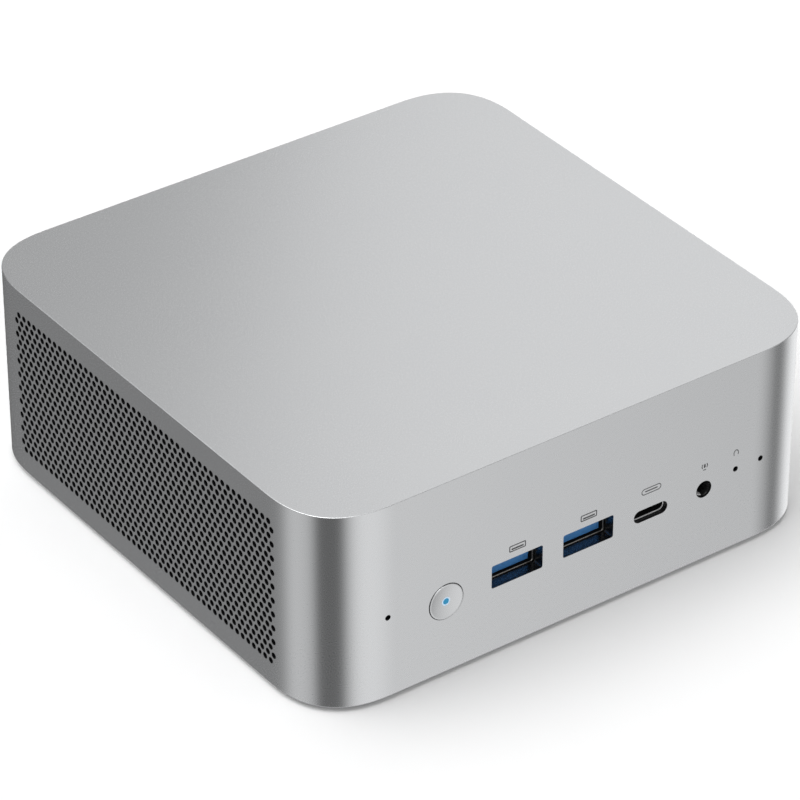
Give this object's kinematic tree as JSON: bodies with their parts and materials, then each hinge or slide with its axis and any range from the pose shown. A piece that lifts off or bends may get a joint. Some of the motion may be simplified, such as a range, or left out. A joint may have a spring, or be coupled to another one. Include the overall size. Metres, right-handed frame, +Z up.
{
  "type": "mini pc",
  "caption": "Square aluminium desktop mini computer with round corners, perforated sides, front and rear ports, a sprung power button and a turning fan inside.",
  "frame": {"origin": "on the surface it stands on, under the middle of the case", "axes": "+X to the right seen from the front, +Y towards the back, +Z up; front face towards -Y"},
  "size_m": [0.135, 0.1328, 0.0498],
  "materials": {
    "case_aluminium": "bead-blasted, clear anodised",
    "black_panel": "fine-textured moulded",
    "black_plastic": "moulded",
    "port_steel": "nickel-plated sheet",
    "port_blue": "moulded blue",
    "light_pipe": "lit blue, frosted",
    "rubber": "matt",
    "steel": "zinc-plated",
    "brass": "turned",
    "copper": "bare copper",
    "fin_aluminium": "bare sheet",
    "circuit_board": "solder mask on glass-fibre board",
    "silicon": "bare die on its carrier"
  },
  "bodies": {
    "case": {"antenna_left": "copper", "antenna_right": "copper", "audio_jack": "black_plastic", "base_cover": "black_panel", "base_screw_front_left": "steel", "base_screw_front_right": "steel", "base_screw_rear_left": "steel", "base_screw_rear_right": "steel", "coin_cell": "steel", "cold_plate": "copper", "corner_post_front_left": "brass", "corner_post_front_right": "brass", "corner_post_rear_left": "brass", "corner_post_rear_right": "brass", "dc_jack": "black_plastic", "fan_axle": "steel", "fan_housing": "black_plastic", "fin_stack": "fin_aluminium", "foot_front_left": "rubber", "foot_front_right": "rubber", "foot_rear_left": "rubber", "foot_rear_right": "rubber", "hdmi_port_left": "port_steel", "hdmi_port_right": "port_steel", "hdmi_tongue_left": "black_plastic", "hdmi_tongue_right": "black_plastic", "heat_pipe_left": "copper", "heat_pipe_right": "copper", "housing_shell": "case_aluminium", "mic_left": "steel", "mic_right": "steel", "motherboard": "circuit_board", "network_port": "port_steel", "power_switch": "black_plastic", "processor": "silicon", "ram_module_lower": "circuit_board", "ram_module_upper": "circuit_board", "ram_socket": "black_plastic", "rear_panel": "black_panel", "reset_switch": "black_plastic", "ssd_card": "circuit_board", "ssd_socket": "black_plastic", "usb_a_front_left": "port_steel", "usb_a_front_right": "port_steel", "usb_a_rear": "port_steel", "usb_c_front": "port_steel", "usb_c_rear": "port_steel", "usb_c_tongue_front": "black_plastic", "usb_c_tongue_rear": "black_plastic", "usb_tongue_front_left": "port_blue", "usb_tongue_front_right": "port_blue", "usb_tongue_rear_lower": "port_blue", "usb_tongue_rear_upper": "port_blue", "wifi_card": "circuit_board"},
    "power_button": {"power_button": "case_aluminium", "power_lens": "light_pipe", "power_plunger": "black_plastic"},
    "reset_plunger": {"reset_plunger": "black_plastic"},
    "fan_rotor": {"fan_rotor": "black_plastic"}
  },
  "joints": [
    {"name": "power_button_press", "type": "slide", "parent": "case", "child": "power_button", "axis": [0, 1, 0], "range_m": [0, 0.0005], "stiffness_N_per_m": 1500, "springref_m": -0.0005},
    {"name": "reset_press", "type": "slide", "parent": "case", "child": "reset_plunger", "axis": [0, 1, 0], "range_m": [0, 0.00025], "stiffness_N_per_m": 2000, "springref_m": -0.0003},
    {"name": "fan_spin", "type": "hinge", "parent": "case", "child": "fan_rotor", "pos_m": [0, -0.006, 0.04], "axis": [0, 0, 1], "continuous": true}
  ]
}
